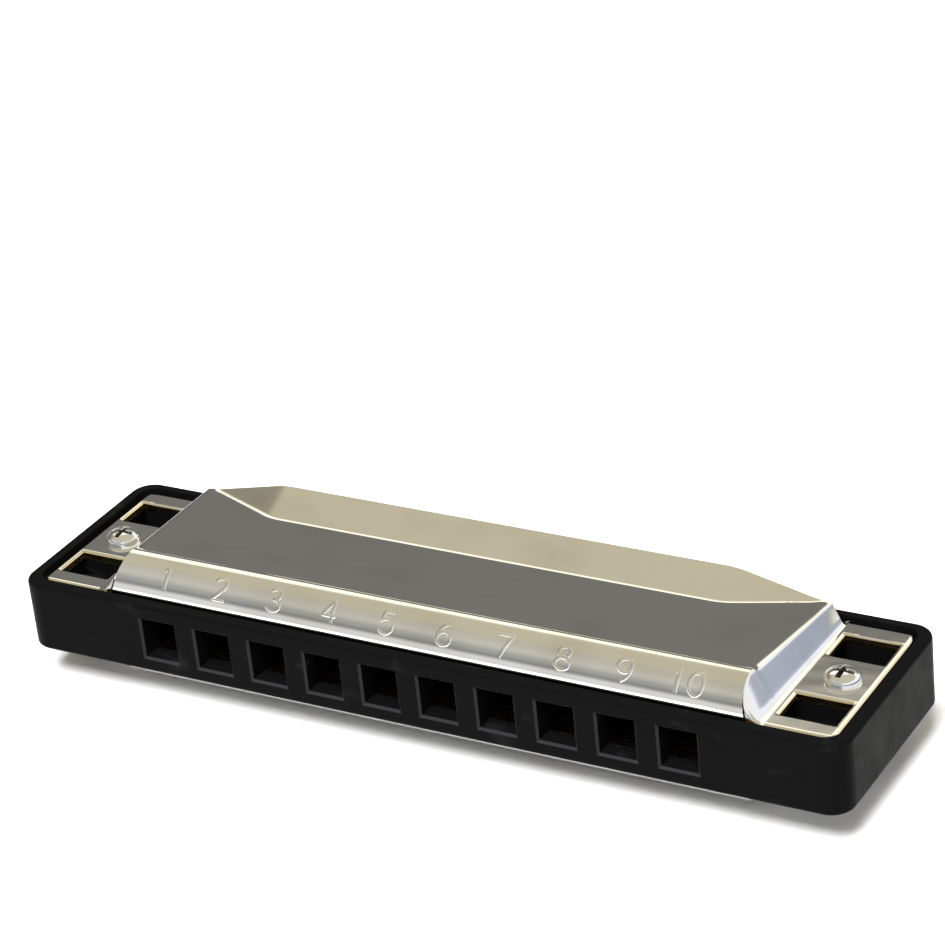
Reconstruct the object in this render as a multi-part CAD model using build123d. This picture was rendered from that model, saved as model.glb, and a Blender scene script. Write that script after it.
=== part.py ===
from build123d import *
import os
from math import radians, tan

# Ten-hole diatonic harmonica, in millimetres.
# X runs along the row of holes (hole 1 at -X), the mouth side is -Y, and +Z is up.
# The origin is on the surface it lies on, under the middle of the comb.
# Everything is drawn about the comb's mid-plane and lifted at the end. The lower plate
# and cover are the upper ones turned over.

# ---- driving dimensions -------------------------------------------------------------

# comb: one moulding with a rim round a recess on each side
comb_length = 106.5
comb_depth = 27.0
comb_thickness = 8.9
comb_corner_radius = 2.8
comb_edge_radius = 0.5
rim_front = 1.6
rim_back = 1.3
rim_end = 1.5
recess_corner_radius = 2.0
chamber_wall_behind_rim = 0.9
chamber_spare_length = 0.4
rear_spine = 2.2

# mouth holes
hole_count = 10
hole_pitch = 7.5
chamber_width = 4.6
mouth_lip = 0.15
mouth_chamfer = 0.3

# reed plates
plate_thickness = 0.9
plate_clearance = 0.1

# reeds
reed_width = 2.1
reed_thickness = 0.22
reed_lift = 0.06
reed_side_clearance = 0.06
reed_tip_clearance = 0.15
reed_root_gap = 0.03
slot_past_root = 0.1
reed_setback = 1.5
shortest_reed_cut = 6.6
pad_length = 2.6
pad_width = 2.5
pad_thickness = 0.5
rivet_diameter = 1.2
rivet_head_diameter = 1.9
rivet_head_height = 0.3
rivet_tail_height = 0.2
hole_clearance = 0.01

# covers: one pressed sheet each
sheet_thickness = 0.5
flange_below_rim = 0.35
lip_gap = 0.3
roll_radius = 4.4
crest_height = 3.6
top_fall_deg = 3.5
flare_kink_from_back = 6.8
flare_rise = 2.0
cover_back_gap = 2.7
flare_half_length = 30.0
flare_tip_half_length = 40.0
fold_from_end = 10.15
end_lean_front = 2.6
end_lean_back = 1.3
slit_from_fold = 1.9
slit_width = 0.3
slit_depth = 2.4
flange_margin = 0.25
flange_corner_radius = 1.5

# the two windows in each flange, over pockets in the comb
window_length = 6.65
window_width = 4.75
window_spacing = 13.1
window_from_fold = 0.65
plate_window_outset = 0.45
pocket_depth = 2.0

# cover screws and nuts
screw_from_end = 5.9
screw_diameter = 2.0
screw_head_diameter = 4.2
screw_head_height = 1.2
screw_head_radius = 0.6
screw_past_nut = 0.3
recess_slot_width = 0.5
recess_slot_length = 2.3
recess_slot_depth = 0.6
nut_across_flats = 4.0
nut_height = 1.6
bolt_clearance = 0.1

# plate screws
plate_screw_diameter = 1.4
plate_screw_length = 2.6
plate_screw_head_diameter = 2.6
plate_screw_head_height = 0.7
plate_screw_slot_width = 0.35
plate_screw_slot_depth = 0.3
plate_screw_from_fold = 4.3
plate_screw_from_front = 5.0
plate_screw_from_back = 4.6

# ---- places worked out from them ----------------------------------------------------

recess_depth = flange_below_rim + sheet_thickness + plate_thickness
web_half = comb_thickness / 2 - recess_depth
plate_top = web_half + plate_thickness
flange_top = plate_top + sheet_thickness
rim_top = comb_thickness / 2

front = -comb_depth / 2
back = comb_depth / 2
recess_front = front + rim_front
recess_back = back - rim_back
recess_middle = (recess_front + recess_back) / 2
fold_x = comb_length / 2 - fold_from_end
screw_x = comb_length / 2 - screw_from_end
window_x = fold_x + window_from_fold + window_length / 2

mouth_half_height = web_half - mouth_lip
chamber_front = recess_front + chamber_wall_behind_rim
blow_tip = chamber_front + reed_setback
longest_reed = recess_back - rear_spine - chamber_spare_length - pad_length - blow_tip
shortest_reed = longest_reed - shortest_reed_cut

lip_y = recess_front + lip_gap
crest_y = lip_y + roll_radius
crest_z = rim_top + crest_height
kink_y = back - flare_kink_from_back
kink_z = crest_z - (kink_y - crest_y) * tan(radians(top_fall_deg))
cover_back_y = back - cover_back_gap
flare_z = kink_z + flare_rise
mid_height = flare_z

# reach of cutting bodies past what they cut
far = 3 * comb_length
overcut = 1.0
profile_reach = comb_depth + comb_thickness
facet_overrun = 4.0


def hole_x(i):
    """Middle of hole i, counted from 0 at the low-note end."""
    return (i - (hole_count - 1) / 2) * hole_pitch


def reed_length(i):
    """Reeds shorten evenly from hole 1 to hole 10."""
    return longest_reed - shortest_reed_cut * i / (hole_count - 1)


def block(x0, x1, y0, y1, z0, z1):
    """A box between two corners."""
    box = Box(x1 - x0, y1 - y0, z1 - z0)
    return Pos((x0 + x1) / 2, (y0 + y1) / 2, (z0 + z1) / 2) * box


def drill(x, y, diameter, z0, z1):
    """A round hole or shank along Z."""
    return Pos(x, y, (z0 + z1) / 2) * Cylinder(diameter / 2, z1 - z0)


def both_ends(shape):
    return [shape, mirror(shape, Plane.YZ)]


def turned_over(shape):
    return mirror(shape, Plane.XY)


# ---- comb ---------------------------------------------------------------------------

plate_screw_places = [
    (sign * (fold_x - plate_screw_from_fold), y)
    for sign in (-1, 1)
    for y in (front + plate_screw_from_front, back - plate_screw_from_back)
] + [(0.0, recess_back - rear_spine)]


def window_centres():
    return [(window_x, recess_middle + s * window_spacing / 2) for s in (-1, 1)]


def recess_outline(inset):
    return RectangleRounded(
        comb_length - 2 * rim_end - 2 * inset,
        recess_back - recess_front - 2 * inset,
        recess_corner_radius - inset,
    )


def make_comb():
    body = extrude(RectangleRounded(comb_length, comb_depth, comb_corner_radius), rim_top, both=True)
    rim_edges = body.faces().sort_by(Axis.Z)[-1].edges() + body.faces().sort_by(Axis.Z)[0].edges()
    body = fillet(rim_edges, comb_edge_radius)
    recess = extrude(Pos(0, recess_middle, web_half) * recess_outline(0), recess_depth + overcut)
    cuts = [recess, turned_over(recess)]
    for i in range(hole_count):
        x = hole_x(i)
        chamber_back = blow_tip + reed_length(i) + pad_length + chamber_spare_length
        half = chamber_width / 2
        cuts.append(block(x - half, x + half, chamber_front, chamber_back, -web_half, web_half))
        cuts.append(block(x - half, x + half, front - overcut, chamber_front,
                          -mouth_half_height, mouth_half_height))
        mouth = Rectangle(chamber_width + 2 * mouth_chamfer, 2 * (mouth_half_height + mouth_chamfer))
        plane = Plane((x, front, 0), x_dir=(1, 0, 0), z_dir=(0, 1, 0))
        cuts.append(extrude(plane * mouth, mouth_chamfer, taper=45))
    for x, y in window_centres():
        pocket = extrude(
            Pos(x, y, web_half - pocket_depth)
            * Rectangle(window_length + 2 * plate_window_outset, window_width + 2 * plate_window_outset),
            pocket_depth,
        )
        cuts += both_ends(pocket) + both_ends(turned_over(pocket))
    cuts += both_ends(drill(screw_x, recess_middle, screw_diameter + 2 * bolt_clearance, -web_half, web_half))
    for x, y in plate_screw_places:
        pilot = drill(x, y, plate_screw_diameter + 2 * hole_clearance,
                      plate_top - plate_screw_length - hole_clearance, web_half)
        cuts += [pilot, turned_over(pilot)]
    return body - cuts


# ---- reed plates and reeds ----------------------------------------------------------
# A reed is a strip riveted by its pad to one side of the plate, with its tongue over a
# slot. Blow reeds are on the plate's inner side with their pads at the back. Draw reeds
# are on the outer side with their pads at the front. Both are drawn on the upper plate.

def reed_row(kind, i):
    """Root line, direction to the tip, contact face and the side of it a reed lies on."""
    if kind == "blow":
        return blow_tip + reed_length(i), -1, web_half, -1
    return blow_tip + pad_length, 1, plate_top, 1


def reed_layer(face, side, offset, thickness):
    """Lower and upper height of something lying off a face of the plate."""
    near = face + side * offset
    away = near + side * thickness
    return min(near, away), max(near, away)


def reed_strip(kind, i, width, start, end, low, high):
    """A strip from start to end, measured from the root line towards the tip."""
    root, direction, _, _ = reed_row(kind, i)
    ends = sorted((root + direction * start, root + direction * end))
    return block(hole_x(i) - width / 2, hole_x(i) + width / 2, ends[0], ends[1], low, high)


def rivet_y(kind, i):
    root, direction, _, _ = reed_row(kind, i)
    return root - direction * pad_length / 2


def make_plate(kind):
    outline = Pos(0, recess_middle, web_half) * recess_outline(plate_clearance)
    plate = extrude(outline, plate_thickness)
    cuts = []
    for i in range(hole_count):
        slot_width = reed_width + 2 * reed_side_clearance
        cuts.append(reed_strip(kind, i, slot_width, -slot_past_root, reed_length(i) + reed_tip_clearance,
                               web_half, plate_top))
        cuts.append(drill(hole_x(i), rivet_y(kind, i), rivet_diameter + 2 * hole_clearance,
                          web_half, plate_top))
    for x, y in window_centres():
        window = extrude(
            Pos(x, y, web_half)
            * Rectangle(window_length + 2 * plate_window_outset, window_width + 2 * plate_window_outset),
            plate_thickness,
        )
        cuts += both_ends(window)
    cuts += both_ends(drill(screw_x, recess_middle, screw_diameter + 2 * bolt_clearance, web_half, plate_top))
    for x, y in plate_screw_places:
        cuts.append(drill(x, y, plate_screw_diameter + 2 * bolt_clearance, web_half, plate_top))
    return plate - cuts


def make_reed(kind, i):
    _, _, face, side = reed_row(kind, i)
    low, high = reed_layer(face, side, reed_lift, reed_thickness)
    return reed_strip(kind, i, reed_width, 0, reed_length(i), low, high)


def make_pads(kind):
    pads = []
    for i in range(hole_count):
        _, _, face, side = reed_row(kind, i)
        low, high = reed_layer(face, side, 0, pad_thickness)
        pad = reed_strip(kind, i, pad_width, -pad_length, -reed_root_gap, low, high)
        pads.append(pad - drill(hole_x(i), rivet_y(kind, i), rivet_diameter + 2 * hole_clearance, low, high))
    return pads


def make_rivets(kind):
    rivets = []
    for i in range(hole_count):
        _, _, face, side = reed_row(kind, i)
        far_face = face - side * plate_thickness
        x, y = hole_x(i), rivet_y(kind, i)
        pad_face = face + side * pad_thickness
        shank = drill(x, y, rivet_diameter, min(far_face, pad_face), max(far_face, pad_face))
        head = drill(x, y, rivet_head_diameter, *reed_layer(pad_face, side, 0, rivet_head_height))
        tail = drill(x, y, rivet_head_diameter, *reed_layer(far_face, -side, 0, rivet_tail_height))
        rivets.append(shank + head + tail)
    return rivets


# ---- covers -------------------------------------------------------------------------
# The sheet rises from behind the comb's front rim in a quarter-round roll, falls a
# little over a flat top, and flares up again over the sound opening at the back. Its
# ends slope down to flat flanges that lie on the reed plate inside the comb's rim.

def keep_below(shape, point, normal, inset):
    """Trim a shape to the inner side of a plane that is moved inwards by inset."""
    plane = Plane(origin=Vector(*point) - Vector(*normal).normalized() * inset, z_dir=normal)
    return split(shape, bisect_by=plane, keep=Keep.BOTTOM)


def plane_normal(a, b, c):
    """Upward normal of the plane through three points."""
    normal = (Vector(*b) - Vector(*a)).cross(Vector(*c) - Vector(*a)).normalized()
    return tuple(normal if normal.Z > 0 else -normal)


def end_plane():
    """Sloping end wall at +X, through its top edge and the fold of the flange."""
    top_front = (fold_x - end_lean_front, crest_y, crest_z)
    top_back = (fold_x - end_lean_back, cover_back_y, kink_z)
    fold = (fold_x, recess_middle, flange_top)
    return fold, plane_normal(top_front, top_back, fold)


def cover_block(inset):
    """The solid under the pressed surface, open-ended below and behind."""
    floor = -profile_reach
    with BuildSketch(Plane.YZ) as sketch:
        with BuildLine():
            Line((lip_y + inset, floor), (lip_y + inset, crest_z - roll_radius))
            RadiusArc((lip_y + inset, crest_z - roll_radius), (crest_y, crest_z - inset), roll_radius - inset)
            fall = profile_reach * tan(radians(top_fall_deg))
            Polyline((crest_y, crest_z - inset), (crest_y + profile_reach, crest_z - inset - fall),
                     (crest_y + profile_reach, floor), (lip_y + inset, floor))
        make_face()
    main = extrude(sketch.sketch, far / 2, both=True)

    facet_back = (0, cover_back_y, flare_z)
    facet = plane_normal((0, kink_y, kink_z), facet_back, (1, kink_y, kink_z))
    tip_z = crest_z - (cover_back_y - crest_y) * tan(radians(top_fall_deg))
    k1 = (flare_half_length, kink_y, kink_z)
    k2 = (flare_half_length, cover_back_y, flare_z)
    tip = (flare_tip_half_length, cover_back_y, tip_z)
    side = plane_normal(k1, k2, tip)
    wedge = block(-far / 2, far / 2, kink_y - facet_overrun, cover_back_y + facet_overrun, floor, 2 * flare_z)
    wedge = keep_below(wedge, facet_back, facet, inset)
    wedge = keep_below(wedge, k1, side, inset)
    wedge = keep_below(wedge, (-k1[0], k1[1], k1[2]), (-side[0], side[1], side[2]), inset)

    whole = main + wedge
    point, normal = end_plane()
    whole = keep_below(whole, point, normal, inset)
    return keep_below(whole, (-point[0], point[1], point[2]), (-normal[0], normal[1], normal[2]), inset)


def make_cover():
    inner = cover_block(sheet_thickness)
    shell = cover_block(0) - inner
    shell = shell & block(-far, far, front, cover_back_y, plate_top, 2 * flare_z)
    slit_x = fold_x - slit_from_fold
    for sign in (-1, 1):
        slit = block(min(sign * slit_x, sign * (slit_x + slit_width)),
                     max(sign * slit_x, sign * (slit_x + slit_width)),
                     front, lip_y + slit_depth, plate_top - overcut, crest_z)
        shell -= slit
    inner_end = comb_length / 2 - rim_end - plate_clearance - flange_margin
    flange_outline = Pos(0, recess_middle, plate_top) * RectangleRounded(
        2 * inner_end,
        recess_back - recess_front - 2 * plate_clearance - 2 * flange_margin,
        flange_corner_radius,
    )
    flange = extrude(flange_outline, sheet_thickness)
    flange -= block(-slit_x - slit_width, slit_x + slit_width, front, back,
                    plate_top - overcut, flange_top + overcut)
    cover = shell + (flange - inner)
    for x, y in window_centres():
        hole = extrude(Pos(x, y, plate_top) * Rectangle(window_length, window_width), sheet_thickness)
        cover -= both_ends(hole)
    cover -= both_ends(drill(screw_x, recess_middle, screw_diameter + 2 * bolt_clearance,
                             plate_top, flange_top))
    return cover


# ---- fasteners ----------------------------------------------------------------------

def make_cover_screw():
    head = drill(screw_x, recess_middle, screw_head_diameter, flange_top, flange_top + screw_head_height)
    head = fillet(head.edges().sort_by(Axis.Z)[-1], screw_head_radius)
    top = flange_top + screw_head_height
    for length, width in ((recess_slot_length, recess_slot_width), (recess_slot_width, recess_slot_length)):
        head -= block(screw_x - length / 2, screw_x + length / 2,
                      recess_middle - width / 2, recess_middle + width / 2, top - recess_slot_depth, top)
    return head + drill(screw_x, recess_middle, screw_diameter,
                        -flange_top - nut_height - screw_past_nut, flange_top)


def make_cover_nut():
    hexagon = Pos(screw_x, recess_middle, -flange_top - nut_height) * RegularPolygon(
        nut_across_flats / 2, 6, major_radius=False)
    nut = extrude(hexagon, nut_height)
    return nut - drill(screw_x, recess_middle, screw_diameter + 2 * hole_clearance,
                       -flange_top - nut_height, -flange_top)


def make_plate_screws():
    screws = []
    for x, y in plate_screw_places:
        top = plate_top + plate_screw_head_height
        screw = drill(x, y, plate_screw_diameter, plate_top - plate_screw_length, plate_top)
        screw += drill(x, y, plate_screw_head_diameter, plate_top, top)
        screw -= block(x - plate_screw_head_diameter, x + plate_screw_head_diameter,
                       y - plate_screw_slot_width / 2, y + plate_screw_slot_width / 2,
                       top - plate_screw_slot_depth, top)
        screws.append(screw)
    return screws


# ---- assembly -----------------------------------------------------------------------

os.makedirs("parts", exist_ok=True)


def save(name, shapes):
    """Write one node, as one solid or as a group of separate solids."""
    solids = shapes if isinstance(shapes, list) else [shapes]
    group = Compound(children=[s for shape in solids for s in (Pos(0, 0, mid_height) * shape).solids()])
    export_step(group, f"parts/{name}.step")


save("comb", make_comb())

upper_plate = make_plate("blow")
lower_plate = turned_over(make_plate("draw"))
save("blow_reed_plate", upper_plate)
save("draw_reed_plate", lower_plate)
save("blow_reed_pads", make_pads("blow"))
save("draw_reed_pads", [turned_over(pad) for pad in make_pads("draw")])
save("blow_reed_rivets", make_rivets("blow"))
save("draw_reed_rivets", [turned_over(rivet) for rivet in make_rivets("draw")])
for number in range(hole_count):
    save(f"blow_reed_{number + 1:02d}", make_reed("blow", number))
    save(f"draw_reed_{number + 1:02d}", turned_over(make_reed("draw", number)))

save("blow_plate_screws", make_plate_screws())
save("draw_plate_screws", [turned_over(screw) for screw in make_plate_screws()])

top_cover = make_cover()
save("top_cover", top_cover)
save("bottom_cover", turned_over(top_cover))

right_screw = make_cover_screw()
right_nut = make_cover_nut()
save("right_cover_screw", right_screw)
save("left_cover_screw", mirror(right_screw, Plane.YZ))
save("right_cover_nut", right_nut)
save("left_cover_nut", mirror(right_nut, Plane.YZ))

print(f"overall {comb_length:.1f} x {comb_depth:.1f} x {2 * mid_height:.2f} mm")
print(f"reeds {longest_reed:.2f} to {shortest_reed:.2f} mm")
print(f"rim {rim_top:.2f} plate_top {plate_top:.2f} web_half {web_half:.2f} mid {mid_height:.3f}")
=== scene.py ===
import math

import bmesh
import bpy
from mathutils import Matrix, Vector


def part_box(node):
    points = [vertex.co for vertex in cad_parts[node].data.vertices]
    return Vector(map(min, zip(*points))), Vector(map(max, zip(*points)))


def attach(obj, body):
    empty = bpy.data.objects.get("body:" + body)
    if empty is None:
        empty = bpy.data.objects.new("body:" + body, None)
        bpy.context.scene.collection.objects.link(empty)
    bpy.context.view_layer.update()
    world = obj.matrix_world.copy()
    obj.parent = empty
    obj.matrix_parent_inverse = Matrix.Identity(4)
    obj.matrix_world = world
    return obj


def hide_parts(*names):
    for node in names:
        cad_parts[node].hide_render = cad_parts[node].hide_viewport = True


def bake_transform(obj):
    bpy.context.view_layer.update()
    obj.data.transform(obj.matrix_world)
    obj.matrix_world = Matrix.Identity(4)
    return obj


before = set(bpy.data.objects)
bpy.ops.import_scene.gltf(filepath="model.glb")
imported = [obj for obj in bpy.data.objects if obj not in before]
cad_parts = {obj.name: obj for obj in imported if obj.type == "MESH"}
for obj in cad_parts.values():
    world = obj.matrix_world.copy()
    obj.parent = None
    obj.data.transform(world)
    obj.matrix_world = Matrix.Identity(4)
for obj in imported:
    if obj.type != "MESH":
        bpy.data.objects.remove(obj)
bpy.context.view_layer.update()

# ---- studio -------------------------------------------------------------------------
# A pale floor, one broad lamp high in front, and a soft sky: a bright band low behind
# the instrument, a bluish white wall on the right, and dull warm grey elsewhere. The
# camera stands to the right of the mouth side.

MM = 0.001
camera_azimuth = math.radians(31.8)
camera_elevation = math.radians(27.4)
camera_roll = math.radians(6.1)
camera_distance = 391.8 * MM
camera_aim = Vector((-2.16, 8.81, 25.82)) * MM

camera_data = bpy.data.cameras.new("camera")
camera_data.lens = 129.4
camera_data.sensor_width = 36.0
camera_data.clip_start = 0.01
camera = bpy.data.objects.new("camera", camera_data)
bpy.context.scene.collection.objects.link(camera)
away = Vector((math.sin(camera_azimuth) * math.cos(camera_elevation),
               -math.cos(camera_azimuth) * math.cos(camera_elevation),
               math.sin(camera_elevation)))
level = Vector((0, 0, 1)).cross(away).normalized()
upward = away.cross(level)
side = level * math.cos(camera_roll) - upward * math.sin(camera_roll)
upward = level * math.sin(camera_roll) + upward * math.cos(camera_roll)
camera.matrix_world = Matrix.Translation(camera_aim + away * camera_distance) @ Matrix(
    (side, upward, away)).transposed().to_4x4()
bpy.context.scene.camera = camera
bpy.context.scene.view_settings.view_transform = "Standard"

floor_material = bpy.data.materials.new("pale_floor")
floor_material.use_nodes = True
floor_shader = floor_material.node_tree.nodes["Principled BSDF"]
floor_shader.inputs["Base Color"].default_value = (0.60, 0.60, 0.60, 1)
floor_shader.inputs["Roughness"].default_value = 0.9
floor_shader.inputs["Specular IOR Level"].default_value = 0.1
floor_mesh = bpy.data.meshes.new("studio_floor")
floor_reach = 3.0
floor_corners = [(-floor_reach, -floor_reach, 0), (floor_reach, -floor_reach, 0),
                 (floor_reach, floor_reach, 0), (-floor_reach, floor_reach, 0)]
floor_mesh.from_pydata(floor_corners, [], [(0, 1, 2, 3)])
floor = bpy.data.objects.new("studio_floor", floor_mesh)
floor.data.materials.append(floor_material)
bpy.context.scene.collection.objects.link(floor)


def sky_ramp(tree, height, stops):
    """A band of colours from the horizon (0) to straight up (1)."""
    ramp = tree.nodes.new("ShaderNodeValToRGB")
    ramp.color_ramp.interpolation = "EASE"
    while len(ramp.color_ramp.elements) < len(stops):
        ramp.color_ramp.elements.new(0.5)
    for element, (place, colour) in zip(ramp.color_ramp.elements, stops):
        element.position = place
        element.color = (*colour, 1)
    tree.links.new(height, ramp.inputs["Fac"])
    return ramp.outputs["Color"]


def sky_mix(tree, value, start, end, first, second):
    """first below start, second above end, and a smooth change between them."""
    step = tree.nodes.new("ShaderNodeMapRange")
    step.interpolation_type = "SMOOTHSTEP"
    step.inputs["From Min"].default_value = start
    step.inputs["From Max"].default_value = end
    tree.links.new(value, step.inputs["Value"])
    mix = tree.nodes.new("ShaderNodeMix")
    mix.data_type = "RGBA"
    tree.links.new(step.outputs["Result"], mix.inputs["Factor"])
    tree.links.new(first, mix.inputs["A"])
    tree.links.new(second, mix.inputs["B"])
    return mix.outputs["Result"]


world = bpy.data.worlds.new("soft_sky")
bpy.context.scene.world = world
world.use_nodes = True
sky = world.node_tree
sky_direction = sky.nodes.new("ShaderNodeTexCoord").outputs["Generated"]
sky_split = sky.nodes.new("ShaderNodeSeparateXYZ")
sky.links.new(sky_direction, sky_split.inputs["Vector"])
sky_east, sky_north, sky_height = sky_split.outputs
behind = sky_ramp(sky, sky_height, [
    (0.00, (0.30, 0.30, 0.29)), (0.10, (0.17, 0.17, 0.16)), (0.51, (0.205, 0.20, 0.185)),
    (0.57, (1.50, 1.42, 1.18)), (0.66, (1.50, 1.42, 1.18)), (0.75, (0.64, 0.60, 0.46)),
    (1.00, (0.62, 0.57, 0.42))])
aside = sky_ramp(sky, sky_height, [
    (0.00, (0.30, 0.30, 0.29)), (0.10, (0.17, 0.17, 0.16)), (0.51, (0.205, 0.20, 0.185)),
    (0.66, (0.36, 0.33, 0.24)), (0.80, (0.60, 0.56, 0.42)), (1.00, (0.62, 0.57, 0.42))])
before = sky_ramp(sky, sky_height, [
    (0.00, (0.80, 0.80, 0.78)), (0.16, (0.80, 0.80, 0.80)), (0.34, (0.30, 0.31, 0.31)),
    (0.50, (0.42, 0.42, 0.40)), (0.70, (0.62, 0.61, 0.55)), (0.90, (0.56, 0.54, 0.44)),
    (1.00, (0.62, 0.57, 0.42))])
east_wall = sky_ramp(sky, sky_height, [
    (0.00, (0.42, 0.47, 0.57)), (0.14, (0.50, 0.54, 0.64)), (0.28, (1.05, 1.10, 1.20)),
    (0.60, (1.05, 1.05, 1.05)), (0.75, (0.60, 0.57, 0.45)), (1.00, (0.62, 0.57, 0.42))])
sky_colour = sky_mix(sky, sky_north, 0.30, 0.52, aside, behind)
sky_colour = sky_mix(sky, sky_north, -0.25, 0.05, before, sky_colour)
sky_colour = sky_mix(sky, sky_east, 0.10, 0.40, sky_colour, east_wall)
sky.links.new(sky_colour, sky.nodes["Background"].inputs["Color"])
sky.nodes["Background"].inputs["Strength"].default_value = 1.0


def soft_lamp(name, direction, distance, width, power, colour):
    """A square soft box that faces the instrument."""
    lamp_data = bpy.data.lights.new(name, "AREA")
    lamp_data.size = width
    lamp_data.energy = power
    lamp_data.color = colour
    lamp = bpy.data.objects.new(name, lamp_data)
    towards = Vector(direction).normalized()
    lamp.matrix_world = (Matrix.Translation(towards * distance)
                         @ towards.to_track_quat("Z", "Y").to_matrix().to_4x4())
    bpy.context.scene.collection.objects.link(lamp)
    lamp.visible_glossy = False


soft_lamp("high_lamp", (0.10, -0.50, 0.86), 0.9, 0.45, 30.0, (1.0, 1.0, 0.99))

# ---- comb ---------------------------------------------------------------------------
# One black moulding with the ten mouth holes, straight from the mould: satin, with a
# fine eggshell texture, a few pale rub marks, and wear on the chamfers of the holes.

comb_black = (0.0022, 0.0022, 0.0024)
comb_rub = (0.009, 0.009, 0.010)
chamfer_worn = (0.013, 0.013, 0.014)
hole_pitch = 7.5
hole_row_half = 5 * hole_pitch
chamfer_near, chamfer_far = 0.04, 0.31
chamfer_half_height = 3.0


def new_material(name, base, roughness, metallic=0.0):
    """A principled material and the pieces of it that the others build on."""
    material = bpy.data.materials.new(name)
    material.use_nodes = True
    shader = material.node_tree.nodes["Principled BSDF"]
    shader.inputs["Base Color"].default_value = (*base, 1)
    shader.inputs["Roughness"].default_value = roughness
    shader.inputs["Metallic"].default_value = metallic
    return material, material.node_tree, shader


def grain(tree, scale, detail=3.0, stretch=(1, 1, 1)):
    """Noise on the object's own coordinates. scale is the number of grains in a metre."""
    coordinates = tree.nodes.new("ShaderNodeTexCoord")
    mapping = tree.nodes.new("ShaderNodeMapping")
    mapping.inputs["Scale"].default_value = stretch
    noise = tree.nodes.new("ShaderNodeTexNoise")
    noise.inputs["Scale"].default_value = scale
    noise.inputs["Detail"].default_value = detail
    tree.links.new(coordinates.outputs["Object"], mapping.inputs["Vector"])
    tree.links.new(mapping.outputs["Vector"], noise.inputs["Vector"])
    return noise.outputs["Fac"]


def remap(tree, value, low, high, out_low, out_high):
    """A value stretched from one range to another, and held at its ends."""
    node = tree.nodes.new("ShaderNodeMapRange")
    ends = {"From Min": low, "From Max": high, "To Min": out_low, "To Max": out_high}
    for name, number in ends.items():
        node.inputs[name].default_value = number
    tree.links.new(value, node.inputs["Value"])
    return node.outputs["Result"]


def two_tone(tree, factor, first, second):
    """A colour between two, by a factor."""
    mix = tree.nodes.new("ShaderNodeMix")
    mix.data_type = "RGBA"
    mix.inputs["A"].default_value = (*first, 1)
    mix.inputs["B"].default_value = (*second, 1)
    tree.links.new(factor, mix.inputs["Factor"])
    return mix.outputs["Result"]


def relief(tree, shader, height, depth, strength):
    """Bump on the shader, depth in metres."""
    bump = tree.nodes.new("ShaderNodeBump")
    bump.inputs["Distance"].default_value = depth
    bump.inputs["Strength"].default_value = strength
    tree.links.new(height, bump.inputs["Height"])
    tree.links.new(bump.outputs["Normal"], shader.inputs["Normal"])


def dress(node, material):
    """Gives a CAD node's own mesh a single material."""
    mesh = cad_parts[node].data
    mesh.materials.clear()
    mesh.materials.append(material)


def corners(node, unit=1.0):
    """The low and high corners of a CAD node's box, in metres or in the unit given."""
    low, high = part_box(node)
    return Vector(low) / unit, Vector(high) / unit


comb_material, tree, shader = new_material("comb_plastic", comb_black, 0.36)
shader.inputs["Specular IOR Level"].default_value = 0.05
shader.inputs["IOR"].default_value = 1.25
rubs = remap(tree, grain(tree, 140, 6.0, (1, 1, 2.5)), 0.60, 0.80, 0, 1)
rubbed = two_tone(tree, rubs, comb_black, comb_rub)
comb_low, comb_high = corners("comb", MM)
comb_middle_z = (comb_low.z + comb_high.z) / 2


def between(tree, value, low, high, edge):
    """1 where a place in metres is between two marks, and 0 outside them, with soft edges."""
    entering = remap(tree, value, low - edge, low + edge, 0, 1)
    leaving = remap(tree, value, high - edge, high + edge, 1, 0)
    both = tree.nodes.new("ShaderNodeMath")
    both.operation = "MULTIPLY"
    tree.links.new(entering, both.inputs[0])
    tree.links.new(leaving, both.inputs[1])
    return both.outputs["Value"]


def all_of(tree, masks):
    """The product of several masks."""
    product = masks[0]
    for mask in masks[1:]:
        node = tree.nodes.new("ShaderNodeMath")
        node.operation = "MULTIPLY"
        tree.links.new(product, node.inputs[0])
        tree.links.new(mask, node.inputs[1])
        product = node.outputs["Value"]
    return product


comb_place = tree.nodes.new("ShaderNodeSeparateXYZ")
tree.links.new(tree.nodes.new("ShaderNodeTexCoord").outputs["Object"], comb_place.inputs["Vector"])
chamfer_mask = all_of(tree, [
    between(tree, comb_place.outputs["X"], -hole_row_half * MM, hole_row_half * MM, 0.1 * MM),
    between(tree, comb_place.outputs["Y"], (comb_low.y + chamfer_near) * MM,
            (comb_low.y + chamfer_far) * MM, 0.01 * MM),
    between(tree, comb_place.outputs["Z"], (comb_middle_z - chamfer_half_height) * MM,
            (comb_middle_z + chamfer_half_height) * MM, 0.02 * MM)])
wear_mix = tree.nodes.new("ShaderNodeMix")
wear_mix.data_type = "RGBA"
wear_mix.inputs["B"].default_value = (*chamfer_worn, 1)
tree.links.new(rubbed, wear_mix.inputs["A"])
tree.links.new(chamfer_mask, wear_mix.inputs["Factor"])
tree.links.new(wear_mix.outputs["Result"], shader.inputs["Base Color"])
tree.links.new(remap(tree, grain(tree, 420, 4.0), 0.3, 0.7, 0.30, 0.44), shader.inputs["Roughness"])
relief(tree, shader, grain(tree, 5200, 2.0), 0.00003, 0.35)
dress("comb", comb_material)

# ---- reed plates --------------------------------------------------------------------
# Two brass plates lie in the comb's recesses. They are cut from rolled sheet, so fine
# rolling lines run along them, with a little tarnish between.

brass_bright = (0.86, 0.66, 0.33)
brass_tarnished = (0.55, 0.38, 0.17)

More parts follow.
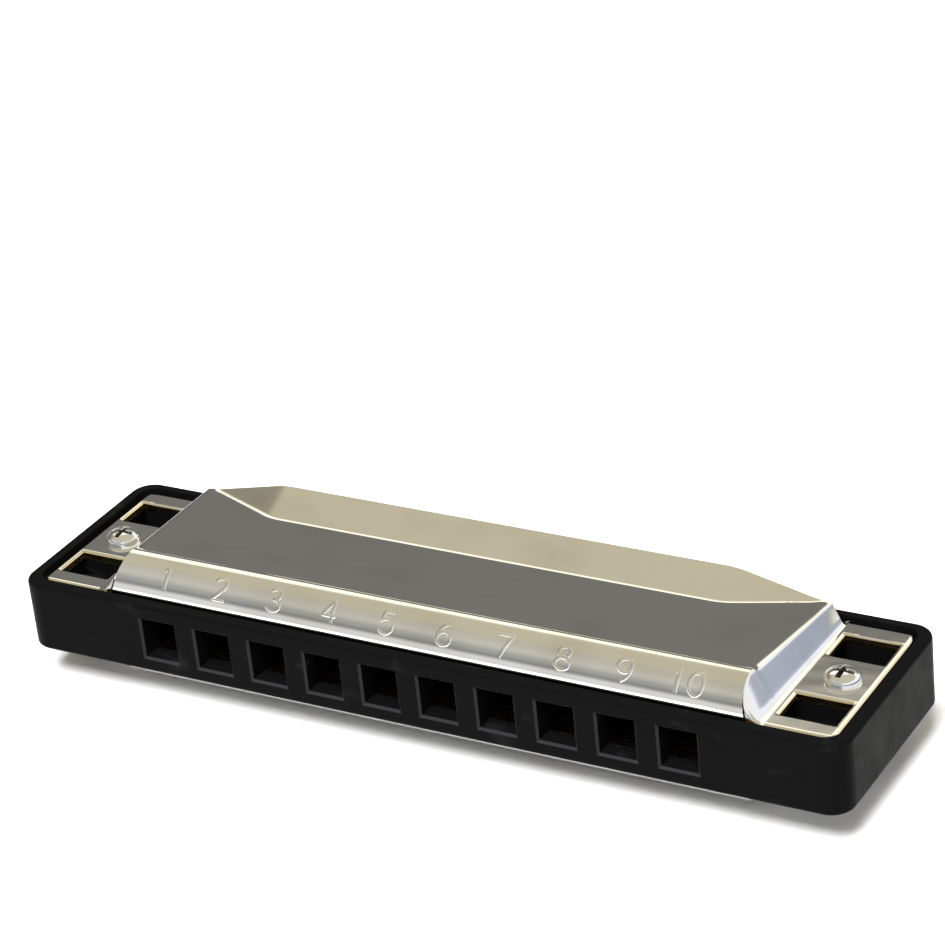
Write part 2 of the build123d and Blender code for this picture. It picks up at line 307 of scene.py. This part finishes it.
plate_material, tree, shader = new_material("rolled_brass", brass_bright, 0.28, 1.0)
tarnish = remap(tree, grain(tree, 160, 6.0), 0.50, 0.80, 0, 1)
tree.links.new(two_tone(tree, tarnish, brass_bright, brass_tarnished), shader.inputs["Base Color"])
rolling = grain(tree, 900, 3.0, (0.06, 6, 6))
tree.links.new(remap(tree, rolling, 0.3, 0.7, 0.20, 0.38), shader.inputs["Roughness"])
relief(tree, shader, rolling, 0.00002, 0.25)
dress("blow_reed_plate", plate_material)
dress("draw_reed_plate", plate_material)

# ---- plate screws -------------------------------------------------------------------
# Five small slotted screws hold each plate to the comb, under the covers. Plain steel
# with turning rings.

plate_screw_material, tree, shader = new_material("plain_steel", (0.60, 0.58, 0.55), 0.32, 1.0)
tree.links.new(remap(tree, grain(tree, 2400, 3.0), 0.3, 0.7, 0.24, 0.44), shader.inputs["Roughness"])
relief(tree, shader, grain(tree, 5000, 2.0, (1, 1, 0.2)), 0.00002, 0.3)
dress("blow_plate_screws", plate_screw_material)
dress("draw_plate_screws", plate_screw_material)

# ---- reeds --------------------------------------------------------------------------
# Each reed is bronze strip. Its pad stays thick for the rivet, and its tongue is milled
# thin, leaving marks across the strip.

reed_colour = (0.84, 0.60, 0.33)
reed_marks = (0.66, 0.45, 0.22)
tongue_rows = 28
tongue_columns = 4
thinning = 0.30

reed_material, tree, shader = new_material("milled_bronze", reed_colour, 0.26, 1.0)
milling = grain(tree, 1500, 2.0, (0.15, 3, 1))
tree.links.new(two_tone(tree, remap(tree, milling, 0.35, 0.75, 0, 1), reed_colour, reed_marks),
               shader.inputs["Base Color"])
tree.links.new(remap(tree, milling, 0.3, 0.7, 0.18, 0.36), shader.inputs["Roughness"])
relief(tree, shader, milling, 0.00002, 0.4)
dress("blow_reed_pads", reed_material)
dress("draw_reed_pads", reed_material)


def link_mesh(name, mesh, material):
    """Puts a finished mesh in the scene as a piece."""
    piece = bpy.data.objects.new(name, mesh)
    bpy.context.scene.collection.objects.link(piece)
    mesh.materials.append(material)
    return piece


def make_tongue(name, low, high, root_at_front):
    """A tongue between two corners, thinned in the middle of its length."""
    thickness = high.z - low.z
    start, end = (low.y, high.y) if root_at_front else (high.y, low.y)
    build = bmesh.new()
    rings = []
    for row in range(tongue_rows + 1):
        along = row / tongue_rows
        thin = thinning * thickness * math.sin(math.pi * min(along * 1.15, 1.0)) ** 2
        ring = []
        for top in (False, True):
            columns = range(tongue_columns + 1)
            for column in (reversed(columns) if top else columns):
                across = low.x + (high.x - low.x) * column / tongue_columns
                height = high.z - thin / 2 if top else low.z + thin / 2
                ring.append(build.verts.new((across, start + (end - start) * along, height)))
        rings.append(ring)
    count = len(rings[0])
    for first, second in zip(rings, rings[1:]):
        for i in range(count):
            build.faces.new((first[i], first[(i + 1) % count], second[(i + 1) % count], second[i]))
    build.faces.new(rings[0])
    build.faces.new(list(reversed(rings[-1])))
    bmesh.ops.recalc_face_normals(build, faces=build.faces)
    mesh = bpy.data.meshes.new(name)
    build.to_mesh(mesh)
    build.free()
    return link_mesh(name, mesh, reed_material)


for kind, root_at_front in (("blow", False), ("draw", True)):
    for number in range(1, 11):
        node = f"{kind}_reed_{number:02d}"
        low, high = corners(node)
        tongue = make_tongue(f"{node}_tongue", low, high, root_at_front)
        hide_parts(node)
        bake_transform(tongue)

# ---- rivets -------------------------------------------------------------------------
# One brass rivet holds each reed. Its head and its peened tail are shallow domes.

rivet_head = 1.9 * MM
pad_half = 1.3 * MM

rivet_material, tree, shader = new_material("peened_brass", (0.80, 0.60, 0.28), 0.30, 1.0)
tree.links.new(remap(tree, grain(tree, 2600, 3.0), 0.3, 0.7, 0.20, 0.45), shader.inputs["Roughness"])
relief(tree, shader, grain(tree, 1900, 2.0), 0.00005, 0.5)


def dome_tree(name, material):
    """Geometry nodes: a squashed ball on each point, a shallow dome both ways up."""
    group = bpy.data.node_groups.new(name, "GeometryNodeTree")
    interface = group.interface
    interface.new_socket("Geometry", in_out="INPUT", socket_type="NodeSocketGeometry")
    diameter = interface.new_socket("Head diameter", in_out="INPUT", socket_type="NodeSocketFloat")
    height = interface.new_socket("Rivet length", in_out="INPUT", socket_type="NodeSocketFloat")
    interface.new_socket("Geometry", in_out="OUTPUT", socket_type="NodeSocketGeometry")
    nodes, links = group.nodes, group.links
    inputs = nodes.new("NodeGroupInput")
    outputs = nodes.new("NodeGroupOutput")
    ball = nodes.new("GeometryNodeMeshUVSphere")
    ball.inputs["Segments"].default_value = 28
    ball.inputs["Rings"].default_value = 14
    ball.inputs["Radius"].default_value = 0.5
    size = nodes.new("ShaderNodeCombineXYZ")
    for axis in ("X", "Y"):
        links.new(inputs.outputs["Head diameter"], size.inputs[axis])
    links.new(inputs.outputs["Rivet length"], size.inputs["Z"])
    shape = nodes.new("GeometryNodeTransform")
    links.new(ball.outputs["Mesh"], shape.inputs["Geometry"])
    links.new(size.outputs["Vector"], shape.inputs["Scale"])
    scatter = nodes.new("GeometryNodeInstanceOnPoints")
    links.new(inputs.outputs["Geometry"], scatter.inputs["Points"])
    links.new(shape.outputs["Geometry"], scatter.inputs["Instance"])
    real = nodes.new("GeometryNodeRealizeInstances")
    links.new(scatter.outputs["Instances"], real.inputs["Geometry"])
    smooth = nodes.new("GeometryNodeSetShadeSmooth")
    links.new(real.outputs["Geometry"], smooth.inputs["Geometry"])
    paint = nodes.new("GeometryNodeSetMaterial")
    paint.inputs["Material"].default_value = material
    links.new(smooth.outputs["Geometry"], paint.inputs["Geometry"])
    links.new(paint.outputs["Geometry"], outputs.inputs["Geometry"])
    return group, diameter.identifier, height.identifier


rivet_tree, rivet_diameter_socket, rivet_length_socket = dome_tree("rivet_domes", rivet_material)


def grow_on_points(name, points, group, settings, material):
    """Runs a geometry-nodes tree on a set of points and keeps the plain mesh it makes."""
    seed_mesh = bpy.data.meshes.new(name + "_points")
    seed_mesh.from_pydata(points, [], [])
    seed = bpy.data.objects.new(name + "_points", seed_mesh)
    bpy.context.scene.collection.objects.link(seed)
    modifier = seed.modifiers.new("grow", "NODES")
    modifier.node_group = group
    for socket, value in settings.items():
        modifier[socket] = value
    ready = seed.evaluated_get(bpy.context.evaluated_depsgraph_get())
    mesh = bpy.data.meshes.new_from_object(ready)
    mesh.name = name
    bpy.data.objects.remove(seed)
    mesh.materials.clear()
    return link_mesh(name, mesh, material)


for kind in ("blow", "draw"):
    low, high = corners(f"{kind}_reed_rivets")
    points = []
    for number in range(1, 11):
        reed_low, reed_high = corners(f"{kind}_reed_{number:02d}")
        y = reed_high.y + pad_half if kind == "blow" else reed_low.y - pad_half
        points.append(((reed_low.x + reed_high.x) / 2, y, (low.z + high.z) / 2))
    rivets = grow_on_points(f"{kind}_rivets", points, rivet_tree,
                            {rivet_diameter_socket: rivet_head, rivet_length_socket: high.z - low.z},
                            rivet_material)
    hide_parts(f"{kind}_reed_rivets")
    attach(rivets, "root")

# ---- covers -------------------------------------------------------------------------
# Each cover is one pressing of thin plated sheet: a quarter-round roll behind the mouth
# holes, a shallow crease, a flat top, a back edge that flares up, and end walls that
# sweep down to flat flanges with two windows each. The flange edges are rolled down.

sheet = 0.5
crest_height = 3.6
roll_radius = 4.4
roll_end_foot = 41.1
roll_end_crest = 40.2
top_end_back = 41.4
crease_width = 0.9
crease_drop = 0.22
crease_steepness = 1.6
end_soften = 2.0
end_round_drop = 0.26
top_fall = math.tan(math.radians(3.5))
kink_inset = 6.8
back_inset = 2.7
facet_set = 0.1
flare_half = 30.0
flare_tip_half = 40.0
flare_rise = 2.0
bend_softness = 0.28
fold_line = 43.1
window_inner, window_outer = 43.75, 50.4
window_half_width = 2.375
window_offset = 6.55
bevel = 0.30
window_bevel_drop = 0.22
roll_top_bend = 0.02
wall_top_bend = 0.16
bend_change = 0.8
wall_sweep_start = 0.60
flange_inset = 0.12
flange_corner = 1.5
front_rim, back_rim = 1.6, 1.3
slit_width = 0.30
slit_length = 1.1
edge_roll = 0.6
edge_drop = 0.34
edge_steps = (0.4, 0.2, 0.08, 0)
edge_glint_band = 0.42

cover_low, cover_high = corners("top_cover", MM)
lip_y = cover_low.y
plate_z = cover_low.z
flange_z = plate_z + sheet
crest_y = lip_y + roll_radius
roll_centre_z = comb_high.z + crest_height - roll_radius
crest_z = roll_centre_z + roll_radius
kink_y = comb_high.y - kink_inset
back_y = comb_high.y - back_inset
flange_front = lip_y + flange_inset
flange_back = cover_high.y
flange_end = cover_high.x
flange_middle = (comb_low.y + front_rim + comb_high.y - back_rim) / 2
kink_z = crest_z - (kink_y - crest_y) * top_fall
flare_slope = flare_rise / (back_y - kink_y)
flare_end_slope = (flare_rise + (back_y - kink_y) * top_fall) / (flare_tip_half - flare_half)


def clamp(value):
    return max(0.0, min(1.0, value))


def ease(value):
    value = clamp(value)
    return value * value * (3 - 2 * value)


def soft_least(a, b, softness):
    """The lesser of two heights, with a rounded bend where they cross."""
    share = clamp(0.5 + 0.5 * (b - a) / softness)
    return b + (a - b) * share - softness * share * (1 - share)


def pressed_height(x, y):
    """Height of the pressing away from its end walls."""
    if y <= crest_y:
        return roll_centre_z + math.sqrt(max(roll_radius ** 2 - (crest_y - y) ** 2, 0))
    past = (y - crest_y) / crease_width
    from_end = top_end(y) - abs(x)
    crease = -crease_drop * ease(past * crease_steepness) * ease(from_end / end_soften)
    end_round = -end_round_drop * clamp(1 - from_end / end_soften) ** 2 * ease(past)
    top = crest_z + crease + end_round - (y - crest_y) * top_fall
    facet = kink_z - facet_set + (y - kink_y) * flare_slope
    ends = facet - (abs(x) - flare_half) * flare_end_slope
    flare = soft_least(facet, ends, bend_softness)
    return -soft_least(-top, -flare, bend_softness)


def top_end(y):
    """Where the top stops and the end wall starts to fall, as a distance from the middle."""
    if y <= crest_y:
        rise = pressed_height(0, y) - plate_z
        return roll_end_foot + (roll_end_crest - roll_end_foot) * rise / (crest_z - plate_z)
    return roll_end_crest + (top_end_back - roll_end_crest) * (y - crest_y) / (back_y - crest_y)


def wall_share(t, y):
    """How much of the height is left at a share t of the way down the end wall.

    The wall bends over from the top, runs straight, and sweeps out into the flange.
    """
    along = ease((y - crest_y + bend_change) / (2 * bend_change))
    bend = roll_top_bend + (wall_top_bend - roll_top_bend) * along
    straight = max(wall_sweep_start - bend, 0)
    sweep = 1 - wall_sweep_start
    fallen = min(t, bend) ** 2 / (2 * bend)
    if t > bend:
        fallen += min(t, wall_sweep_start) - bend
    if t > wall_sweep_start:
        past = t - wall_sweep_start
        fallen += past - past ** 2 / (2 * sweep)
    return 1 - fallen / (bend / 2 + straight + sweep / 2)


def cover_rows():
    """Distances from the mouth side at which the pressing is drawn."""
    rows = [crest_y - roll_radius * math.cos(math.radians(90 * i / 26)) for i in range(27)]
    rows += [crest_y + crease_width * i / 7 for i in range(1, 8)]
    flat_start = crest_y + crease_width
    rows += [flat_start + (kink_y - 1 - flat_start) * i / 22 for i in range(1, 23)]
    rows += [kink_y - 1 + (back_y - kink_y + 1) * i / 20 for i in range(1, 21)]
    rows += [back_y + (flange_back - edge_roll - back_y) * i / 2 for i in range(1, 3)]
    rows += [flange_back - step for step in edge_steps]
    for side in (-1, 1):
        for edge in (-1, 1):
            line = flange_middle + side * window_offset + edge * window_half_width
            rows += [line, line + edge * bevel]
    rows = sorted(rows)
    return [y for i, y in enumerate(rows) if i == 0 or y - rows[i - 1] > 0.02]


# Columns of the pressing, closest together where it bends most: shares of the half
# length for the top, shares of the way down for the wall, and places on the flange.
inner_columns = [1 - (1 - i / 70) ** 1.6 for i in range(71)]
wall_columns = [i / 24 for i in range(25)]
flange_columns = [fold_line + 0.08, window_inner - bevel - 0.05, window_inner - bevel]
flange_columns += [window_inner + (window_outer - window_inner) * i / 4 for i in range(5)]
flange_columns += [window_outer + bevel, flange_end - edge_roll]
flange_columns += [flange_end - step for step in edge_steps]


flange_windows = [(flange_middle + side * window_offset - window_half_width,
                   flange_middle + side * window_offset + window_half_width) for side in (-1, 1)]
snap = 0.01


def in_window(x, y):
    """Whether a place on the flange is inside a window or on its edge."""
    between_ends = window_inner - snap <= x <= window_outer + snap
    return between_ends and any(low - snap <= y <= high + snap for low, high in flange_windows)


def wall_point(t, y):
    """A point of the end wall, a share t of the way down it, and its share of the painted edge
    reflection.
    """
    end = top_end(min(y, back_y))
    start = end + slit_width * clamp(1 - (y - lip_y) / slit_length)
    rise = max(pressed_height(end, min(y, back_y)) - flange_z, 0)
    return start + (fold_line - start) * t, max(y, flange_front), flange_z + rise * wall_share(t, y), 0.0


def flange_point(x, y):
    """A point of the flange, with round corners, rolled edges and bevelled windows, and its share of the
    brass tint that paints a warm reflection on the edges.
    """
    y_on_flange = max(y, flange_front)
    # Window bevels take the full brass tint, a painted warm reflection.
    if in_window(x, y):
        return x, y_on_flange, flange_z - window_bevel_drop, 1.0
    from_end = flange_end - x
    from_edge = min(y_on_flange - flange_front, flange_back - y_on_flange)
    roll_down = max(1 - from_end / edge_roll, 1 - from_edge / edge_roll, 0)
    # Painted reflection: the brass tint share grows towards the rolled edges of the flange.
    edge_glint_share = clamp(1.3 - min(from_end, from_edge) / edge_glint_band)
    reach_x = x - (flange_end - flange_corner)
    reach_y = (max(y_on_flange - (flange_back - flange_corner), 0)
               + min(y_on_flange - (flange_front + flange_corner), 0))
    if reach_x > 0 and reach_y != 0:
        a, b = reach_x / flange_corner, reach_y / flange_corner
        x = flange_end - flange_corner + reach_x * math.sqrt(1 - b * b / 2)
        y_on_flange += reach_y * (math.sqrt(1 - a * a / 2) - 1)
    return x, y_on_flange, flange_z - edge_drop * roll_down ** 2, edge_glint_share


def sheet_point(zone, value, y):
    """A point of the right half of the pressing, and its share of the painted edge reflection."""
    if zone == "top":
        x = value * top_end(min(y, back_y))
        return x, y, pressed_height(x, y), 0.0
    return wall_point(value, y) if zone == "wall" else flange_point(value, y)


def has_sheet(inner, outer, y):
    """Whether there is metal between two neighbouring columns at a distance y."""
    if y > back_y and outer[0] != "flange":
        return False
    if y < flange_front and outer[0] != "top":
        return False
    if outer == ("wall", 0.0):
        return False
    on_flange = inner[0] == outer[0] == "flange"
    return not (on_flange and in_window(inner[1], y) and in_window(outer[1], y))


def outwards(column):
    """Sorts columns from the middle of the cover to its end."""
    zone, value = column
    return ("top", "wall", "flange").index(zone), value


def build_pressing(name):
    """The upper cover's outer surface as one grid of faces, without thickness."""
    rows = cover_rows()
    half = [("top", f) for f in inner_columns] + [("wall", t) for t in wall_columns]
    half += [("flange", x) for x in flange_columns]
    columns = [(-1, column) for column in reversed(half[1:])] + [(1, column) for column in half]
    build = bmesh.new()
    # Share of the brass tint at each point, a painted warm edge reflection.
    edge_glint = build.verts.layers.float.new("edge_glint")
    grid = []
    for row_y in rows:
        line = []
        for sign, (zone, value) in columns:
            x, y, z, edge_glint_share = sheet_point(zone, value, row_y)
            vertex = build.verts.new((sign * x, y, z))
            vertex[edge_glint] = edge_glint_share
            line.append(vertex)
        grid.append(line)
    for r in range(len(rows) - 1):
        middle_y = (rows[r] + rows[r + 1]) / 2
        for c in range(len(columns) - 1):
            inner, outer = sorted((columns[c][1], columns[c + 1][1]), key=outwards)
            if has_sheet(inner, outer, middle_y):
                build.faces.new((grid[r][c], grid[r][c + 1], grid[r + 1][c + 1], grid[r + 1][c]))
    bmesh.ops.remove_doubles(build, verts=build.verts, dist=0.004)
    bmesh.ops.dissolve_degenerate(build, edges=build.edges, dist=0.001)
    loose = [v for v in build.verts if not v.link_faces]
    bmesh.ops.delete(build, geom=loose, context="VERTS")
    mesh = bpy.data.meshes.new(name)
    build.to_mesh(mesh)
    build.free()
    return mesh


def thicken(mesh, name):
    """Gives the pressing its sheet thickness and marks the sharp edges."""
    shell = bpy.data.objects.new(name + "_shell", mesh)
    bpy.context.scene.collection.objects.link(shell)
    wall = shell.modifiers.new("sheet", "SOLIDIFY")
    wall.thickness = sheet
    wall.offset = -1
    ready = shell.evaluated_get(bpy.context.evaluated_depsgraph_get())
    solid = bpy.data.meshes.new_from_object(ready)
    bpy.data.objects.remove(shell)
    for polygon in solid.polygons:
        polygon.use_smooth = True
    solid.set_sharp_from_angle(angle=math.radians(38))
    solid.name = name
    return solid


chrome_bright = (0.84, 0.83, 0.80)
chrome_dull = (0.72, 0.70, 0.66)
# Painted reflection: a brass tint on the rolled flange edges and window bevels stands in for the warm
# light they reflect, shown as plating worn through to brass.
edge_brass_glint = (0.74, 0.56, 0.29)
chrome_material, tree, shader = new_material("plated_sheet", chrome_bright, 0.06, 1.0)
smears = grain(tree, 95, 5.0, (1, 1.6, 1))
plating = two_tone(tree, remap(tree, smears, 0.45, 0.80, 0, 1), chrome_bright, chrome_dull)
edge_glint_attribute = tree.nodes.new("ShaderNodeAttribute")
edge_glint_attribute.attribute_name = "edge_glint"
show_edge_glint = tree.nodes.new("ShaderNodeMix")
show_edge_glint.data_type = "RGBA"
show_edge_glint.inputs["B"].default_value = (*edge_brass_glint, 1)
tree.links.new(plating, show_edge_glint.inputs["A"])
tree.links.new(remap(tree, edge_glint_attribute.outputs["Fac"], 0.1, 1.0, 0, 0.9), show_edge_glint.inputs["Factor"])
tree.links.new(show_edge_glint.outputs["Result"], shader.inputs["Base Color"])
polish = grain(tree, 700, 4.0, (0.25, 4, 4))
tree.links.new(remap(tree, polish, 0.35, 0.80, 0.035, 0.075), shader.inputs["Roughness"])
relief(tree, shader, grain(tree, 150, 1.0, (1, 1.3, 1.3)), 0.0004, 0.06)

top_solid = thicken(build_pressing("top_cover_sheet"), "top_cover_sheet")
bottom_solid = top_solid.copy()
top_solid.transform(Matrix.Scale(MM, 4))
turn_over = Matrix.Translation((0, 0, 2 * comb_middle_z)) @ Matrix.Diagonal((1, 1, -1, 1))
bottom_solid.transform(Matrix.Scale(MM, 4) @ turn_over)
bottom_solid.flip_normals()
for name, mesh, node in (("top_cover_sheet", top_solid, "top_cover"),
                         ("bottom_cover_sheet", bottom_solid, "bottom_cover")):
    mesh.materials.clear()
    cover = link_mesh(name, mesh, chrome_material)
    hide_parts(node)
    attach(cover, "root")

# ---- hole numbers -------------------------------------------------------------------
# The numbers 1 to 10 stand up from the roll above their holes, stamped from behind
# with a single-line punch.

digit_height = 2.7
digit_width = 1.75
digit_ridge = 0.23
digit_stand = 0.09
digit_flatness = 0.45
digit_middle = math.radians(46)
digit_gap = 2.3


def arc(cx, cy, rx, ry, start, end):
    """Points along part of an ellipse, angles in degrees."""
    steps = max(4, int(abs(end - start) / 15))
    turns = (math.radians(start + (end - start) * i / steps) for i in range(steps + 1))
    return [(cx + rx * math.cos(a), cy + ry * math.sin(a)) for a in turns]


digit_strokes = {
    "0": [arc(0.5, 0.5, 0.48, 0.5, 90, 450)],
    "1": [[(0.25, 0.80), (0.55, 1.0), (0.55, 0.0)]],
    "2": [arc(0.5, 0.72, 0.45, 0.28, 165, -35) + [(0.05, 0.0), (0.98, 0.0)]],
    "3": [arc(0.47, 0.75, 0.42, 0.25, 155, -90) + arc(0.47, 0.26, 0.50, 0.26, 90, -155)],
    "4": [[(0.72, 0.0), (0.72, 1.0), (0.0, 0.30), (1.0, 0.30)]],
    "5": [[(0.90, 1.0), (0.20, 1.0), (0.13, 0.55)] + arc(0.47, 0.33, 0.50, 0.33, 115, -150)],
    "6": [arc(0.98, 0.36, 0.96, 0.66, 112, 180) + arc(0.5, 0.30, 0.48, 0.30, 180, 540)],
    "7": [[(0.0, 1.0), (1.0, 1.0), (0.35, 0.0)]],
    "8": [arc(0.5, 0.76, 0.40, 0.24, 90, 450), arc(0.5, 0.26, 0.48, 0.26, 90, 450)],
    "9": [arc(0.02, 0.64, 0.96, 0.66, -68, 0) + arc(0.5, 0.70, 0.48, 0.30, 0, 360)],
}


def stroke_mesh(strokes):
    """Round ridges along the strokes of one digit, drawn flat."""
    curve = bpy.data.curves.new("stroke", "CURVE")
    curve.dimensions = "3D"
    curve.bevel_depth = digit_ridge
    curve.bevel_resolution = 3
    curve.use_fill_caps = True
    for points in strokes:
        dense = [points[0]]
        for first, second in zip(points, points[1:]):
            cuts = max(1, int(math.dist(first, second) / 0.12))
            dense += [(first[0] + (second[0] - first[0]) * k / cuts,
                       first[1] + (second[1] - first[1]) * k / cuts) for k in range(1, cuts + 1)]
        spline = curve.splines.new("POLY")
        spline.points.add(len(dense) - 1)
        for point, (u, v) in zip(spline.points, dense):
            point.co = ((u - 0.5) * digit_width, (v - 0.5) * digit_height, 0, 1)
    drawn = bpy.data.objects.new("stroke", curve)
    bpy.context.scene.collection.objects.link(drawn)
    mesh = bpy.data.meshes.new_from_object(drawn.evaluated_get(bpy.context.evaluated_depsgraph_get()))
    bpy.data.objects.remove(drawn)
    return mesh


numbers = bmesh.new()
for number in range(1, 11):
    text = str(number)
    for place, character in enumerate(text):
        shift = (number - 5.5) * hole_pitch + (place - (len(text) - 1) / 2) * digit_gap
        digit = stroke_mesh(digit_strokes[character])
        for vertex in digit.vertices:
            across, along, out = vertex.co
            angle = digit_middle + along / roll_radius
            radius = roll_radius + digit_stand + (out - digit_ridge) * digit_flatness
            vertex.co = (across + shift, crest_y - radius * math.cos(angle),
                         roll_centre_z + radius * math.sin(angle))
        numbers.from_mesh(digit)
        bpy.data.meshes.remove(digit)
bmesh.ops.recalc_face_normals(numbers, faces=numbers.faces)
for face in numbers.faces:
    face.smooth = True
numbers_mesh = bpy.data.meshes.new("hole_numbers")
numbers.to_mesh(numbers_mesh)
numbers.free()
numbers_mesh.transform(Matrix.Scale(MM, 4))
hole_numbers = link_mesh("hole_numbers", numbers_mesh, chrome_material)
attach(hole_numbers, "root")

# ---- cover screws -------------------------------------------------------------------
# A plated pan-head screw with a cross recess goes down through each end of both covers,
# both plates and the comb, into a hexagon nut underneath.

head_radius = 2.1
head_rings = 42
head_segments = 96
cross_half_width = 0.28
cross_reach = 1.35
cross_depth = 0.95
cross_side_slope = 0.08
cross_end_slope = 0.20
cross_taper = 0.45
head_edge = 1.15
head_crown = 0.26
head_drop = 0.62
shank_radius = 1.0
tip_radius = 0.8
tip_chamfer = 0.25

steel_bright = (0.86, 0.86, 0.85)
# Painted shade: the cross recess is coloured near black for the shade that falls in it.
recess_painted_shade = (0.10, 0.09, 0.08)

screw_material, tree, shader = new_material("plated_steel", steel_bright, 0.10, 1.0)
# Painted shade in the cross recess, read from a mesh attribute.
in_recess = tree.nodes.new("ShaderNodeAttribute")
in_recess.attribute_name = "recess_shade"
tree.links.new(two_tone(tree, in_recess.outputs["Fac"], steel_bright, recess_painted_shade),
               shader.inputs["Base Color"])
tree.links.new(remap(tree, grain(tree, 1700, 3.0), 0.3, 0.7, 0.03, 0.10), shader.inputs["Roughness"])
relief(tree, shader, grain(tree, 900, 2.0), 0.00008, 0.18)


def cross_share(x, y):
    """1 inside the cross recess and 0 outside it."""
    wall = 1 - ease((min(abs(x), abs(y)) - cross_half_width) / cross_side_slope + 0.5)
    return wall * (1 - ease((math.hypot(x, y) - cross_reach) / cross_end_slope + 0.5))


def head_height(x, y, height):
    """Top of a domed head with a tapered cross sunk into it."""
    radius = math.hypot(x, y)
    edge = clamp((radius - (head_radius - head_edge)) / head_edge)
    rounding = 1 - math.sqrt(1 - min(edge, 0.999) ** 2)
    dome = height - head_crown * (radius / head_radius) ** 2 - head_drop * rounding
    return dome - cross_depth * cross_share(x, y) * (1 - cross_taper * radius / cross_reach)


def turned_part(name, build, sharp_angle):
    """A plated steel piece from faces drawn in millimetres, with its sharp edges marked."""
    bmesh.ops.recalc_face_normals(build, faces=build.faces)
    for face in build.faces:
        face.smooth = True
    mesh = bpy.data.meshes.new(name)
    build.to_mesh(mesh)
    build.free()
    mesh.transform(Matrix.Scale(MM, 4))
    mesh.set_sharp_from_angle(angle=math.radians(sharp_angle))
    return link_mesh(name, mesh, screw_material)


def make_screw(name, low, high):
    """A screw between two corners, head up."""
    centre_x, centre_y = (low.x + high.x) / 2, (low.y + high.y) / 2
    seat = flange_z
    rise = high.z - seat
    build = bmesh.new()
    # Painted shade share: 1 in the cross recess, 0 on the open head.
    recess_shade = build.verts.layers.float.new("recess_shade")
    crown = build.verts.new((centre_x, centre_y, seat + head_height(0, 0, rise)))
    crown[recess_shade] = 1.0
    rings = []
    for ring in range(1, head_rings + 1):
        radius = head_radius * ring / head_rings
        line = []
        for k in range(head_segments):
            x = radius * math.cos(2 * math.pi * k / head_segments)
            y = radius * math.sin(2 * math.pi * k / head_segments)
            vertex = build.verts.new((centre_x + x, centre_y + y, seat + head_height(x, y, rise)))
            vertex[recess_shade] = cross_share(x, y)
            line.append(vertex)
        rings.append(line)
    for radius, z in ((head_radius, seat), (shank_radius, seat),
                      (shank_radius, low.z + tip_chamfer), (tip_radius, low.z)):
        turns = (2 * math.pi * k / head_segments for k in range(head_segments))
        rings.append([build.verts.new((centre_x + radius * math.cos(turn),
                                       centre_y + radius * math.sin(turn), z)) for turn in turns])
    for k in range(head_segments):
        build.faces.new((crown, rings[0][k], rings[0][(k + 1) % head_segments]))
    for first, second in zip(rings, rings[1:]):
        for k in range(head_segments):
            after = (k + 1) % head_segments
            build.faces.new((first[k], second[k], second[after], first[after]))
    build.faces.new(list(reversed(rings[-1])))
    return turned_part(name, build, 50)


for side_name in ("left", "right"):
    node = f"{side_name}_cover_screw"
    low, high = corners(node, MM)
    screw = make_screw(f"{side_name}_pan_screw", low, high)
    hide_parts(node)
    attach(screw, "root")

# ---- cover nuts ---------------------------------------------------------------------
# Each screw ends in a hexagon nut under the lower cover. Turned and plated, with the
# corners chamfered on both faces.

nut_segments = 72
nut_bore = 1.02
nut_countersink = 0.2
nut_land_share = 0.95
nut_chamfer_slope = math.tan(math.radians(30))


def make_nut(name, low, high):
    """A hexagon nut with its corners along X."""
    centre_x, centre_y = (low.x + high.x) / 2, (low.y + high.y) / 2
    half_flats = (high.y - low.y) / 2
    land = half_flats * nut_land_share
    build = bmesh.new()
    rings = []
    for level, face_z, inward in (("low", low.z, 1), ("high", high.z, -1)):
        lines = []
        for kind_of_ring in ("bore", "mouth", "land", "corner"):
            line = []
            for k in range(nut_segments):
                turn = 2 * math.pi * k / nut_segments
                to_flat = (turn + math.pi / 6) % (math.pi / 3) - math.pi / 6
                hexagon = half_flats / math.cos(math.pi / 6 - abs(to_flat))
                chamfer = nut_chamfer_slope * (hexagon - land)
                radius, z = {"bore": (nut_bore, face_z + inward * nut_countersink),
                             "mouth": (nut_bore + nut_countersink, face_z),
                             "land": (land, face_z),
                             "corner": (hexagon, face_z + inward * chamfer)}[kind_of_ring]
                line.append(build.verts.new((centre_x + radius * math.cos(turn),
                                             centre_y + radius * math.sin(turn), z)))
            lines.append(line)
        rings += lines if level == "low" else list(reversed(lines))
    for first, second in zip(rings, rings[1:] + rings[:1]):
        for k in range(nut_segments):
            after = (k + 1) % nut_segments
            build.faces.new((first[k], first[after], second[after], second[k]))
    return turned_part(name, build, 24)


for side_name in ("left", "right"):
    node = f"{side_name}_cover_nut"
    low, high = corners(node, MM)
    nut = make_nut(f"{side_name}_hexagon_nut", low, high)
    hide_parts(node)
    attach(nut, "root")
